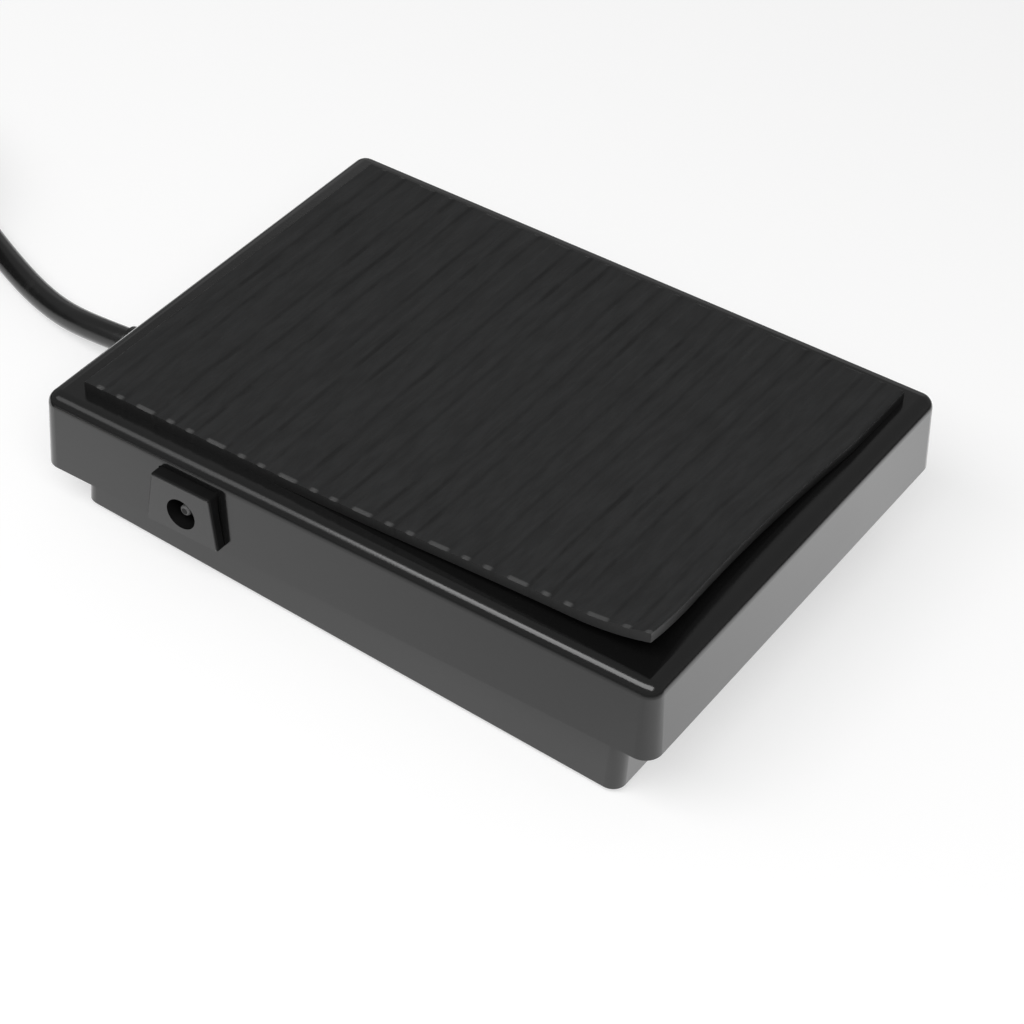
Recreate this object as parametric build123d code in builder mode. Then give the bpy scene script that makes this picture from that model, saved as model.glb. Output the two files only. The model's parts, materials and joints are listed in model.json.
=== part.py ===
from build123d import *
from math import cos, pi, radians, sin, tan
import os

# A low sustain pedal for a keyboard: a moulded treadle with a glued rubber mat, hinged at the
# rear on a shallow tray that holds the switch, the springs and the cord's anchorage.
#
# Frame: millimetres. The origin is on the floor under the middle of the base, +X points to the
# end that the foot presses, -Y to the side with the socket, +Z up. The pieces of the treadle are
# drawn as they lie when it is pressed level, and raised() swings their planes up to rest.

# ---- Treadle moulding ----
treadle_length = 100.0
treadle_width = 74.2
treadle_height = 12.1  # skirt edge to top face
treadle_corner = 2.6  # plan radius of the corners
treadle_edge = 2.0  # rounding round the top face
treadle_draft = 2.3  # degrees
skirt_wall = 1.8
roof_wall = 2.2
skirt_ground = 7.06  # skirt edge to floor when level
rest_angle = 3.2  # degrees that the treadle stands up at rest
rib_wall = 1.2
rib_depth = 2.0
rib_clearance = 1.2  # between a rib and a spring or a bumper

# ---- Base tray moulding ----
side_clearance = 0.7  # skirt to base along the sides
end_clearance = 3.6  # skirt to base at the ends, room for the swing
base_corner = 2.1
base_edge = 0.4  # bevel round the underside
base_draft = 1.0  # degrees
base_wall = 1.8
base_floor = 2.0
rim_clearance = 0.95  # base rim to the treadle's ribs when level
floor_rib_height = 2.4

# ---- Rubber parts ----
sole_thickness = 1.1
sole_proud = 0.5
sole_border = 4.6  # edge of the base to edge of the sole
sole_corner = 3.0
sole_hole_clearance = 0.9  # round the two screw wells
mat_thickness = 1.8
mat_border_end = 4.4
mat_border_side = 4.45
mat_x = 0.6  # glued on a little off the middle
mat_y = -0.25
mat_corner = 0.5
mat_rib_depth = 0.35
mat_rib_pitch = 12.13  # from one wide rib to the next
mat_wide_rib = 3.0
mat_narrow_rib = 1.15
mat_narrow_ribs = (4.32, 7.63)  # from a wide rib to the two narrow ones after it
mat_first_rib = -46.63  # where the first wide rib would be, just off the rear edge
curl_length = 38.0  # the corner by the socket's end has come unstuck and curls up
curl_rise = 3.6

# ---- Hinge ----
rod_diameter = 3.0
rod_end_gap = 0.7  # rod end to the outer face of the tray
rod_over_cord = 0.5
hook_running_gap = 0.05
hook_wall = 1.55
hook_width = 5.0
hook_mouth = 2.5  # narrower than the rod, so that it snaps on
hook_back_gap = 1.1  # hook to the tray's rear wall
hook_side_inset = 10.6  # middle of a hook to the side of the base
lug_wall = 1.4
lug_thickness = 2.0
lug_gap = 0.4

# ---- Stop screws, springs and bumpers at the front ----
stop_inset = 12.6  # front and side of the base to the screws' axes
post_radius = 2.8
post_clearance = 0.6
screw_radius = 1.4
screw_head_radius = 2.9
screw_head_height = 1.8
screw_depth = 9.0  # thread in the post
washer_radius = 4.5
washer_thickness = 0.8
washer_clearance = 0.8
washer_bore_gap = 0.15
stop_height = 8.4  # flange face that the washers rise to
stop_flange = 1.8
stop_gap = 0.35  # washer centre to flange, as the washer is tilted
turret_wall = 1.5
collar_wall = 0.7
collar_height = 1.2
spring_wire = 1.0
spring_clearance = 0.7
spring_turns = 4
spring_end_gap = 0.05
bumper_radius = 2.6
bumper_wall = 0.9
bumper_cup = 1.5
bumper_proud = 2.2
bumper_gap = 0.15  # to the roof when level

# ---- Switch and its board ----
board_length = 33.0
board_width = 18.0
board_thickness = 1.2
board_post = 3.5  # board above the tray's floor
board_gap = 2.0  # board to the cord clamp
board_post_radius = 2.6
board_screw_inset = 3.3
board_screw_radius = 1.1
board_screw_depth = 2.8  # thread in the post
board_head_radius = 2.1
board_head_height = 1.3
switch_size = 8.5
switch_height = 4.5
switch_inset = 11.0  # from the board's front edge
switch_pin_radius = 0.4
switch_pin_length = 1.4  # below the board
switch_pin_gap = 0.1
plunger_radius = 1.8
plunger_gap = 0.05
plunger_dome = 0.5
plunger_proud = 0.95  # above the switch when pressed
plunger_grip = 1.8  # length inside the switch at rest
plunger_clearance = 0.1  # below the plunger when pressed
contact_gap = 0.15
actuator_radius = 2.5

# ---- Side socket ----
jack_width = 10.0
jack_height = 8.65
jack_length = 14.4
jack_proud = 1.5  # nose outside the skirt
jack_inset = 26.0  # middle of the socket to the rear of the treadle
jack_roof_gap = 0.5
jack_fit = 0.1
jack_corner = 0.5
socket_radius = 2.4
socket_depth = 9.0
flange_gap = 0.05  # nose to the skirt
flange_splay = 1.2  # the nose is that much wider either side at its lower edge
socket_drop = 0.5  # below the middle of the nose
socket_chamfer = 0.3
pin_radius = 0.83
pin_recess = 0.8
tab_width = 1.8
tab_thickness = 0.4
tab_length = 3.5
tab_spacing = 4.4
notch_clearance = 0.9

# ---- Cord and its anchorage ----
cord_radius = 2.0
cord_y = -9.0
relief_flange_width = 8.0
relief_flange_height = 6.0
relief_flange = 1.3
relief_corner = 1.0
relief_gap = 0.05
relief_neck_radius = 2.7
relief_root_radius = 3.1
relief_tip_radius = 2.5
relief_tail = 12.0
relief_groove = 0.45
relief_groove_width = 0.9
relief_grooves = 4
relief_notch = 1.5  # room in the skirt round the relief
clamp_length = 6.0
clamp_thickness = 2.0
clamp_hole_spacing = 12.4
clamp_boss_radius = 2.6
clamp_grip = 0.8  # how far the cord stands into the clamp
clamp_rod_gap = 1.1
lead_radius = 0.55
cord_length = 1500.0

# ---- Put-away coil and plug ----
coil_x = -122.0
coil_y = -16.2
coil_inner = 17.0  # radius of the innermost turn
coil_outer = 27.0  # radius of the outermost turn
coil_layers = 4
plug_x = -109.2  # where the plug's boot begins
plug_y = -53.6
plug_heading = -16.0  # degrees from +X
boot_length = 14.0
boot_radius = 3.0
handle_length = 26.0
handle_radius = 5.0
handle_neck_radius = 4.2
shank_radius = 3.175
shank_length = 20.9
insulator_length = 1.2
insulator_radius = 2.9
tip_length = 9.0
tip_bulge_radius = 3.1
tip_waist_radius = 2.35
tip_point_radius = 1.2

# ---- Places that follow from the sizes ----
floor_top = sole_proud + base_floor
roof_z = skirt_ground + treadle_height - roof_wall
top_z = skirt_ground + treadle_height
base_length = treadle_length - 2 * (skirt_wall + end_clearance)
base_width = treadle_width - 2 * (skirt_wall + side_clearance)
base_rim = roof_z - rib_depth - rim_clearance
cord_z = floor_top + relief_flange_height / 2 + 2 * relief_gap
rod_radius = rod_diameter / 2
hook_bore = rod_radius + hook_running_gap
hook_radius = hook_bore + hook_wall
hinge_x = -base_length / 2 + base_wall + hook_back_gap + hook_radius
hinge_z = cord_z + cord_radius + rod_over_cord + rod_radius
hook_y = base_width / 2 - hook_side_inset

stop_x = base_length / 2 - stop_inset
stop_y = base_width / 2 - stop_inset
post_bore = post_radius + post_clearance
well_radius = washer_radius + washer_clearance
turret_radius = well_radius + turret_wall
turret_top = stop_height + stop_flange
collar_radius = post_bore + collar_wall
spring_radius = collar_radius + spring_clearance + spring_wire / 2
spring_reach = spring_radius + spring_wire / 2
rib_offset = spring_reach + rib_clearance + rib_wall / 2
long_rib_y = stop_y - rib_offset
bumper_post_radius = bumper_radius + bumper_wall
bumper_y = long_rib_y - rib_wall / 2 - rib_clearance - bumper_post_radius
bumper_top = roof_z - bumper_gap
bumper_seat = bumper_top - bumper_proud

clamp_x = hinge_x + rod_radius + clamp_rod_gap + clamp_length / 2
clamp_width = clamp_hole_spacing + 2 * clamp_boss_radius
clamp_seat = cord_z + cord_radius - clamp_grip
board_x = clamp_x + clamp_length / 2 + board_gap + board_length / 2
board_y = cord_y + clamp_width / 2 + board_gap + board_width / 2
board_z = floor_top + board_post
board_top = board_z + board_thickness
board_screw_span = board_length - 2 * board_screw_inset
switch_x = board_x + board_length / 2 - switch_inset
switch_top = board_top + switch_height

jack_x = -treadle_length / 2 + jack_inset
jack_z = roof_z - jack_roof_gap - jack_height / 2
jack_nose = treadle_width / 2 + jack_proud  # distance of the nose's face from the middle
jack_rear = jack_nose - jack_length
socket_z = jack_z - socket_drop


def raised(plane):
    """The plane, swung with the treadle from its level position up to rest."""
    swing = Location((hinge_x, 0, hinge_z), (0, -rest_angle, 0))
    return Plane(swing * Location((-hinge_x, 0, -hinge_z)) * plane.location)


def height_at_rest(x, level_height):
    """Height at rest of a point of the treadle that has this x and height when level."""
    swing = radians(rest_angle)
    return hinge_z + (x - hinge_x) * sin(swing) + (level_height - hinge_z) * cos(swing)


def level_height_of(x, rest_height):
    """Height when level of a point of the treadle with this x and height at rest."""
    swing = radians(rest_angle)
    return hinge_z + (rest_height - hinge_z - (x - hinge_x) * sin(swing)) / cos(swing)


def along_x(x):
    """Plane across the cord's axis at x, where the cord runs straight through the rear wall."""
    return Plane(origin=(x, cord_y, cord_z), x_dir=(0, 1, 0), z_dir=(1, 0, 0))


plunger_travel = height_at_rest(switch_x, switch_top) - switch_top
plunger_pressed = switch_top + plunger_proud
actuator_tip = plunger_pressed + contact_gap
plunger_top = plunger_pressed + plunger_travel
plunger_foot = switch_top - plunger_grip
plunger_well = plunger_foot - plunger_travel - plunger_clearance
post_tip = level_height_of(stop_x, stop_height - stop_gap)
treadle_up = Axis((0, 0, 0), (-sin(radians(rest_angle)), 0, cos(radians(rest_angle))))

os.makedirs("parts", exist_ok=True)

# ---- Treadle cap: drafted shell, ribs, hinge hooks, screw posts, actuator and socket pocket ----
with BuildPart() as treadle_cap:
    with BuildSketch(raised(Plane.XY.offset(skirt_ground))):
        RectangleRounded(treadle_length, treadle_width, treadle_corner)
    extrude(amount=treadle_height, taper=treadle_draft)
    fillet(treadle_cap.faces().sort_by(treadle_up)[-1].edges(), treadle_edge)
    with BuildSketch(raised(Plane.XY.offset(skirt_ground))):
        RectangleRounded(
            treadle_length - 2 * skirt_wall,
            treadle_width - 2 * skirt_wall,
            treadle_corner - skirt_wall,
        )
    extrude(amount=treadle_height - roof_wall, taper=treadle_draft, mode=Mode.SUBTRACT)
    # stiffening ribs under the roof, clear of the springs and bumpers
    with BuildSketch(raised(Plane.XY.offset(roof_z - rib_depth))):
        with Locations((stop_x, 0), (switch_x, 0)):
            with GridLocations(2 * rib_offset, 0, 2, 1):
                Rectangle(rib_wall, treadle_width - 1.5 * skirt_wall)
        with GridLocations(0, long_rib_y, 1, 3):
            Rectangle(treadle_length - 1.5 * skirt_wall, rib_wall)
    extrude(amount=rib_depth)
    # posts for the stop screws
    with BuildSketch(raised(Plane.XY.offset(post_tip))):
        with Locations((stop_x, 0)):
            with GridLocations(0, 2 * stop_y, 1, 2):
                Circle(post_radius)
    extrude(amount=roof_z - post_tip)
    # actuator over the switch plunger
    with BuildSketch(raised(Plane.XY.offset(actuator_tip))):
        with Locations((switch_x, board_y)):
            Circle(actuator_radius)
    extrude(amount=roof_z - actuator_tip)
    # snap hooks that clip over the hinge rod from above
    for side in (-1, 1):
        with BuildSketch(raised(Plane.XZ.offset(side * hook_y))):
            with Locations((hinge_x, hinge_z)):
                Circle(hook_radius)
                Rectangle(2 * hook_radius, roof_z - hinge_z, align=(Align.CENTER, Align.MIN))
                Circle(hook_bore, mode=Mode.SUBTRACT)
                Rectangle(
                    hook_mouth,
                    2 * hook_radius,
                    align=(Align.CENTER, Align.MAX),
                    mode=Mode.SUBTRACT,
                )
        extrude(amount=hook_width / 2, both=True)
    # pocket walls either side of the socket and a stop behind it
    pocket_depth = jack_length - jack_proud - skirt_wall / 2
    with BuildSketch(raised(Plane.XY.offset(jack_z))):
        with Locations((jack_x, -jack_rear)):
            with GridLocations(jack_width + 2 * jack_fit + rib_wall, 0, 2, 1):
                Rectangle(rib_wall, pocket_depth, align=(Align.CENTER, Align.MAX))
    extrude(amount=roof_z - jack_z)
    with BuildSketch(raised(Plane.XY.offset(jack_z + jack_height / 4))):
        with Locations((jack_x, -jack_rear + jack_fit)):
            Rectangle(
                jack_width + 2 * jack_fit + 2 * rib_wall,
                rib_wall,
                align=(Align.CENTER, Align.MIN),
            )
    extrude(amount=roof_z - jack_z - jack_height / 4)
    # opening for the socket's nose
    with BuildSketch(raised(Plane.XZ.offset(jack_nose))):
        with Locations((jack_x, jack_z)):
            RectangleRounded(
                jack_width + 2 * jack_fit, jack_height + 2 * jack_fit, jack_corner
            )
    extrude(amount=-(jack_proud + 2 * skirt_wall), mode=Mode.SUBTRACT)
    # arch over the strain relief in the rear skirt
    with BuildSketch(raised(Plane.YZ.offset(-treadle_length / 2))):
        with Locations((cord_y, cord_z)):
            Circle(relief_root_radius + relief_notch)
    extrude(amount=2 * skirt_wall, mode=Mode.SUBTRACT)
    # pilot holes for the stop screws
    with BuildSketch(raised(Plane.XY.offset(post_tip))):
        with Locations((stop_x, 0)):
            with GridLocations(0, 2 * stop_y, 1, 2):
                Circle(screw_radius)
    extrude(amount=screw_depth, mode=Mode.SUBTRACT)
treadle_cap.part.label = "treadle_cap"
export_step(treadle_cap.part, "parts/treadle_cap.step")

# ---- Tread mat: ribbed rubber sheet, flat on the treadle but for one curled corner ----
mat_length = treadle_length - 2 * mat_border_end
mat_width = treadle_width - 2 * mat_border_side
mat_reach = mat_length + mat_width
curl_radius = (curl_length**2 + curl_rise**2) / (2 * curl_rise)
curl_corner = (mat_x + mat_length / 2, mat_y - mat_width / 2, top_z)
curl_plane = Plane(origin=curl_corner, x_dir=(-1, 1, 0), z_dir=(1, 1, 0))
rib_places = []
for repeat in range(int(mat_length / mat_rib_pitch) + 1):
    wide_x = mat_first_rib + repeat * mat_rib_pitch
    rib_places.append((wide_x, mat_wide_rib))
    rib_places += [(wide_x + offset, mat_narrow_rib) for offset in mat_narrow_ribs]


def curled_sheet(foot, head):
    """Layer of the mat between two heights, curved round the curl and flat beyond it."""
    with BuildPart() as layer:
        with BuildSketch(raised(curl_plane)):
            with Locations((curl_length, curl_radius)):
                Circle(curl_radius - foot)
                Circle(curl_radius - head, mode=Mode.SUBTRACT)
            with Locations((curl_length, 0)):
                Rectangle(
                    2 * curl_length,
                    4 * curl_rise,
                    align=(Align.MAX, Align.CENTER),
                    mode=Mode.INTERSECT,
                )
            with Locations((curl_length, foot)):
                Rectangle(mat_reach, head - foot, align=(Align.MIN, Align.MIN))
        extrude(amount=mat_reach, both=True)
    return layer.part


with BuildPart() as tread_mat:
    add(curled_sheet(0, mat_thickness - mat_rib_depth))
    with BuildSketch(raised(Plane.XY.offset(top_z - mat_thickness))):
        with Locations((mat_x, mat_y)):
            RectangleRounded(mat_length, mat_width, mat_corner)
    extrude(amount=3 * mat_thickness + 2 * curl_rise, mode=Mode.INTERSECT)
    with BuildPart(mode=Mode.PRIVATE) as mat_ribs:
        add(curled_sheet(mat_thickness / 2, mat_thickness))
        with BuildSketch(raised(Plane.XY.offset(top_z - mat_thickness))):
            for rib_x, rib_width in rib_places:
                with Locations((rib_x, mat_y)):
                    Rectangle(rib_width, mat_width)
            with Locations((mat_x, mat_y)):
                RectangleRounded(mat_length, mat_width, mat_corner, mode=Mode.INTERSECT)
        extrude(amount=3 * mat_thickness + 2 * curl_rise, mode=Mode.INTERSECT)
    add(mat_ribs.part)
tread_mat.part.label = "tread_mat"
export_step(tread_mat.part, "parts/tread_mat.step")

# ---- Base tray: drafted shell, screw wells, hinge lugs, board posts and cord anchorage ----
with BuildPart() as base_tray:
    with BuildSketch(Plane.XY.offset(sole_proud)):
        RectangleRounded(base_length, base_width, base_corner)
    extrude(amount=base_rim - sole_proud, taper=base_draft)
    chamfer(base_tray.faces().sort_by(Axis.Z)[0].edges(), base_edge)
    with BuildSketch(Plane.XY.offset(floor_top)):
        RectangleRounded(
            base_length - 2 * base_wall,
            base_width - 2 * base_wall,
            base_corner - base_wall,
        )
    extrude(amount=base_rim - floor_top, taper=base_draft, mode=Mode.SUBTRACT)
    # stiffening ribs across the floor in front of the board
    with BuildSketch(Plane.XY.offset(floor_top)):
        with Locations((stop_x, 0)):
            Rectangle(rib_wall, base_width - 1.5 * base_wall)
        with Locations((stop_x - 2 * rib_offset, 0)):
            Rectangle(rib_wall, base_width - 1.5 * base_wall)
        with GridLocations(0, 2 * long_rib_y, 1, 2):
            with Locations((base_length / 2 - base_wall / 2, 0)):
                Rectangle(
                    stop_inset + 2 * rib_offset - base_wall / 2,
                    rib_wall,
                    align=(Align.MAX, Align.CENTER),
                )
    extrude(amount=floor_rib_height)
    # turrets that carry the springs and stop the screws
    with BuildSketch(Plane.XY.offset(floor_top)):
        with Locations((stop_x, 0)):
            with GridLocations(0, 2 * stop_y, 1, 2):
                Circle(turret_radius)
    extrude(amount=turret_top - floor_top)
    with BuildSketch(Plane.XY.offset(turret_top)):
        with Locations((stop_x, 0)):
            with GridLocations(0, 2 * stop_y, 1, 2):
                Circle(collar_radius)
    extrude(amount=collar_height)
    # posts with cups for the rubber bumpers
    with BuildSketch(Plane.XY.offset(floor_top)):
        with Locations((stop_x, 0)):
            with GridLocations(0, 2 * bumper_y, 1, 2):
                Circle(bumper_post_radius)
    extrude(amount=bumper_seat - floor_top)
    with BuildSketch(Plane.XY.offset(bumper_seat)):
        with Locations((stop_x, 0)):
            with GridLocations(0, 2 * bumper_y, 1, 2):
                Circle(bumper_radius)
    extrude(amount=-bumper_cup, mode=Mode.SUBTRACT)
    # lugs either side of each hinge hook
    lug_radius = rod_radius + lug_wall
    lug_spacing = hook_width + 2 * lug_gap + lug_thickness
    for side in (-1, 1):
        for edge in (-1, 1):
            with BuildSketch(Plane.XZ.offset(side * hook_y + edge * lug_spacing / 2)):
                with Locations((hinge_x, hinge_z)):
                    Circle(lug_radius)
                    Rectangle(
                        2 * lug_radius,
                        hinge_z - floor_top,
                        align=(Align.CENTER, Align.MAX),
                    )
            extrude(amount=lug_thickness / 2, both=True)
    # posts for the switch board
    with BuildSketch(Plane.XY.offset(floor_top)):
        with Locations((board_x, board_y)):
            with GridLocations(board_screw_span, 0, 2, 1):
                Circle(board_post_radius)
    extrude(amount=board_post)
    # bosses and saddle for the cord clamp
    with BuildSketch(Plane.XY.offset(floor_top)):
        with Locations((clamp_x, cord_y)):
            with GridLocations(0, clamp_hole_spacing, 1, 2):
                Circle(clamp_boss_radius)
    extrude(amount=clamp_seat - floor_top)
    with BuildSketch(Plane.XY.offset(floor_top)):
        with Locations((clamp_x, cord_y)):
            Rectangle(rib_wall, clamp_hole_spacing)
    extrude(amount=cord_z - floor_top)
    with BuildSketch(along_x(clamp_x)):
        Circle(cord_radius)
    extrude(amount=clamp_boss_radius, both=True, mode=Mode.SUBTRACT)
    # bore for the hinge rod through the side walls and the lugs
    with BuildSketch(Plane.XZ):
        with Locations((hinge_x, hinge_z)):
            Circle(rod_radius)
    extrude(amount=base_width / 2, both=True, mode=Mode.SUBTRACT)
    # wells for the stop screws, open below, and the posts' bores above them
    with BuildSketch(Plane.XY):
        with Locations((stop_x, 0)):
            with GridLocations(0, 2 * stop_y, 1, 2):
                Circle(well_radius)
    extrude(amount=stop_height, mode=Mode.SUBTRACT)
    with BuildSketch(Plane.XY):
        with Locations((stop_x, 0)):
            with GridLocations(0, 2 * stop_y, 1, 2):
                Circle(post_bore)
    extrude(amount=turret_top + collar_height, mode=Mode.SUBTRACT)
    # pilot holes for the board and clamp screws
    with BuildSketch(Plane.XY.offset(board_z)):
        with Locations((board_x, board_y)):
            with GridLocations(board_screw_span, 0, 2, 1):
                Circle(board_screw_radius)
    extrude(amount=-board_screw_depth, mode=Mode.SUBTRACT)
    with BuildSketch(Plane.XY.offset(clamp_seat)):
        with Locations((clamp_x, cord_y)):
            with GridLocations(0, clamp_hole_spacing, 1, 2):
                Circle(board_screw_radius)
    extrude(amount=-board_screw_depth, mode=Mode.SUBTRACT)
    # slot in the rear wall that the strain relief slides down into
    with BuildSketch(along_x(-base_length / 2 - base_wall)):
        Circle(relief_neck_radius)
        Rectangle(2 * relief_neck_radius, base_rim, align=(Align.CENTER, Align.MIN))
    extrude(amount=2.5 * base_wall, mode=Mode.SUBTRACT)
    # notch in the side wall for the socket, which moves with the treadle
    notch_width = jack_width + 2 * (jack_fit + rib_wall + notch_clearance)
    notch_floor = jack_z - jack_height / 2 - notch_clearance
    with BuildSketch(Plane.XZ.offset(base_width / 2)):
        with Locations((jack_x, notch_floor)):
            Rectangle(notch_width, base_rim, align=(Align.CENTER, Align.MIN))
    extrude(amount=-2 * base_wall, mode=Mode.SUBTRACT)
    # recess for the sole
    with BuildSketch(Plane.XY.offset(sole_proud)):
        RectangleRounded(base_length - 2 * sole_border, base_width - 2 * sole_border, sole_corner)
    extrude(amount=sole_thickness - sole_proud, mode=Mode.SUBTRACT)
base_tray.part.label = "base_tray"
export_step(base_tray.part, "parts/base_tray.step")

# ---- Sole: rubber sheet glued into the underside, with a hole at each screw well ----
with BuildPart() as sole_pad:
    with BuildSketch():
        RectangleRounded(base_length - 2 * sole_border, base_width - 2 * sole_border, sole_corner)
        with Locations((stop_x, 0)):
            with GridLocations(0, 2 * stop_y, 1, 2):
                Circle(well_radius + sole_hole_clearance, mode=Mode.SUBTRACT)
    extrude(amount=sole_thickness)
sole_pad.part.label = "sole_pad"
export_step(sole_pad.part, "parts/sole_pad.step")

# ---- Hinge rod: plain steel rod held by the tray ----
with BuildPart() as hinge_rod:
    with BuildSketch(Plane.XZ):
        with Locations((hinge_x, hinge_z)):
            Circle(rod_radius)
    extrude(amount=base_width / 2 - rod_end_gap, both=True)
hinge_rod.part.label = "hinge_rod"
export_step(hinge_rod.part, "parts/hinge_rod.step")

# ---- Stop screws and their washers, which rise and fall with the treadle ----
with BuildPart() as stop_washers:
    with BuildSketch(raised(Plane.XY.offset(post_tip))):
        with Locations((stop_x, 0)):
            with GridLocations(0, 2 * stop_y, 1, 2):
                Circle(washer_radius)
                Circle(screw_radius + washer_bore_gap, mode=Mode.SUBTRACT)
    extrude(amount=-washer_thickness)
stop_washers.part.label = "stop_washers"
export_step(stop_washers.part, "parts/stop_washers.step")

with BuildPart() as stop_screws:
    with BuildSketch(raised(Plane.XY.offset(post_tip - washer_thickness))):
        with Locations((stop_x, 0)):
            with GridLocations(0, 2 * stop_y, 1, 2):
                Circle(screw_head_radius)
    extrude(amount=-screw_head_height)
    chamfer(stop_screws.faces().sort_by(treadle_up)[:2].edges(), screw_head_height / 3)
    with BuildSketch(raised(Plane.XY.offset(post_tip - washer_thickness))):
        with Locations((stop_x, 0)):
            with GridLocations(0, 2 * stop_y, 1, 2):
                Circle(screw_radius)
    extrude(amount=washer_thickness + screw_depth)
stop_screws.part.label = "stop_screws"
export_step(stop_screws.part, "parts/stop_screws.step")

# ---- Return springs between the turrets and the roof ----
spring_top = height_at_rest(stop_x - spring_reach, roof_z) - spring_end_gap
spring_height = spring_top - turret_top - spring_wire - spring_end_gap
with BuildPart() as return_springs:
    for side in (-1, 1):
        spring_foot = (stop_x, side * stop_y, turret_top + spring_end_gap + spring_wire / 2)
        with BuildLine(Plane(origin=spring_foot, x_dir=(-1, 0, 0))) as coil_line:
            Helix(spring_height / spring_turns, spring_height, spring_radius)
        with BuildSketch(Plane(origin=coil_line.line @ 0, z_dir=coil_line.line % 0)):
            RegularPolygon(spring_wire / 2, 8)
        sweep(path=coil_line.line, is_frenet=True)
return_springs.part.label = "return_springs"
export_step(return_springs.part, "parts/return_springs.step")

# ---- Rubber bumpers that the roof lands on ----
with BuildPart() as bumper_pads:
    with BuildSketch(Plane.XY.offset(bumper_seat - bumper_cup)):
        with Locations((stop_x, 0)):
            with GridLocations(0, 2 * bumper_y, 1, 2):
                Circle(bumper_radius)
    extrude(amount=bumper_cup + bumper_proud)
    chamfer(bumper_pads.faces().sort_by(Axis.Z)[-2:].edges(), bumper_radius / 5)
bumper_pads.part.label = "bumper_pads"
export_step(bumper_pads.part, "parts/bumper_pads.step")

# ---- Switch board with holes for the switch's pins ----
with BuildPart() as switch_board:
    with BuildSketch(Plane.XY.offset(board_z)):
        with Locations((board_x, board_y)):
            Rectangle(board_length, board_width)
            with GridLocations(board_screw_span, 0, 2, 1):
                Circle(board_screw_radius, mode=Mode.SUBTRACT)
        with Locations((switch_x, board_y)):
            with GridLocations(switch_size / 2, switch_size / 4, 2, 3):
                Circle(switch_pin_radius + switch_pin_gap, mode=Mode.SUBTRACT)
    extrude(amount=board_thickness)
switch_board.part.label = "switch_board"
export_step(switch_board.part, "parts/switch_board.step")

with BuildPart() as board_screws:
    with BuildSketch(Plane.XY.offset(board_top)):
        with Locations((board_x, board_y)):
            with GridLocations(board_screw_span, 0, 2, 1):
                Circle(board_head_radius)
    extrude(amount=board_head_height)
    chamfer(board_screws.faces().sort_by(Axis.Z)[-2:].edges(), board_head_height / 3)
    with BuildSketch(Plane.XY.offset(board_top)):
        with Locations((board_x, board_y)):
            with GridLocations(board_screw_span, 0, 2, 1):
                Circle(board_screw_radius)
    extrude(amount=-(board_thickness + board_screw_depth))
board_screws.part.label = "board_screws"
export_step(board_screws.part, "parts/board_screws.step")

# ---- Push switch: body, pins and plunger ----
with BuildPart() as switch_body:
    with BuildSketch(Plane.XY.offset(board_top)):
        with Locations((switch_x, board_y)):
            RectangleRounded(switch_size, switch_size, switch_size / 12)
    extrude(amount=switch_height)
    chamfer(switch_body.faces().sort_by(Axis.Z)[-1].edges(), switch_height / 12)
    with BuildSketch(Plane.XY.offset(switch_top)):
        with Locations((switch_x, board_y)):
            Circle(plunger_radius + plunger_gap)
    extrude(amount=plunger_well - switch_top, mode=Mode.SUBTRACT)
switch_body.part.label = "switch_body"
export_step(switch_body.part, "parts/switch_body.step")

with BuildPart() as switch_pins:
    with BuildSketch(Plane.XY.offset(board_top)):
        with Locations((switch_x, board_y)):
            with GridLocations(switch_size / 2, switch_size / 4, 2, 3):
                Circle(switch_pin_radius)
    extrude(amount=-(board_thickness + switch_pin_length))
switch_pins.part.label = "switch_pins"
export_step(switch_pins.part, "parts/switch_pins.step")

with BuildPart() as switch_plunger:
    with BuildSketch(Plane.XY.offset(plunger_foot)):
        with Locations((switch_x, board_y)):
            Circle(plunger_radius)
    extrude(amount=plunger_top - plunger_foot)
    fillet(switch_plunger.faces().sort_by(Axis.Z)[-1].edges(), plunger_dome)
switch_plunger.part.label = "switch_plunger"
export_step(switch_plunger.part, "parts/switch_plunger.step")

# ---- Side socket: moulded body, centre pin, solder tabs and the leads from them ----
with BuildPart() as jack_body:
    with BuildSketch(raised(Plane.XZ.offset(jack_nose))):
        with Locations((jack_x, jack_z)):
            RectangleRounded(jack_width, jack_height, jack_corner)
    extrude(amount=-jack_length)
    with BuildSketch(raised(Plane.XZ.offset(jack_nose))) as nose:
        with BuildLine():
            Polyline(
                (jack_x - jack_width / 2, jack_z + jack_height / 2),
                (jack_x + jack_width / 2, jack_z + jack_height / 2),
                (jack_x + jack_width / 2 + flange_splay, jack_z - jack_height / 2),
                (jack_x - jack_width / 2 - flange_splay, jack_z - jack_height / 2),
                close=True,
            )
        make_face()
        fillet(nose.vertices(), jack_corner)
    extrude(amount=flange_gap - jack_proud)
    with BuildSketch(raised(Plane.XZ.offset(jack_nose))):
        with Locations((jack_x, socket_z)):
            Circle(socket_radius)
    extrude(amount=-socket_depth, mode=Mode.SUBTRACT)
    mouth = jack_body.edges().filter_by(GeomType.CIRCLE).sort_by(Axis.Y)[0]
    chamfer(mouth, socket_chamfer)
jack_body.part.label = "jack_body"
export_step(jack_body.part, "parts/jack_body.step")

with BuildPart() as jack_pin:
    with BuildSketch(raised(Plane.XZ.offset(jack_nose - socket_depth))):
        with Locations((jack_x, socket_z)):
            Circle(pin_radius)
    extrude(amount=socket_depth - pin_recess)
    fillet(jack_pin.faces().sort_by(Axis.Y)[0].edges(), pin_radius / 2)
jack_pin.part.label = "jack_pin"
export_step(jack_pin.part, "parts/jack_pin.step")

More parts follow.
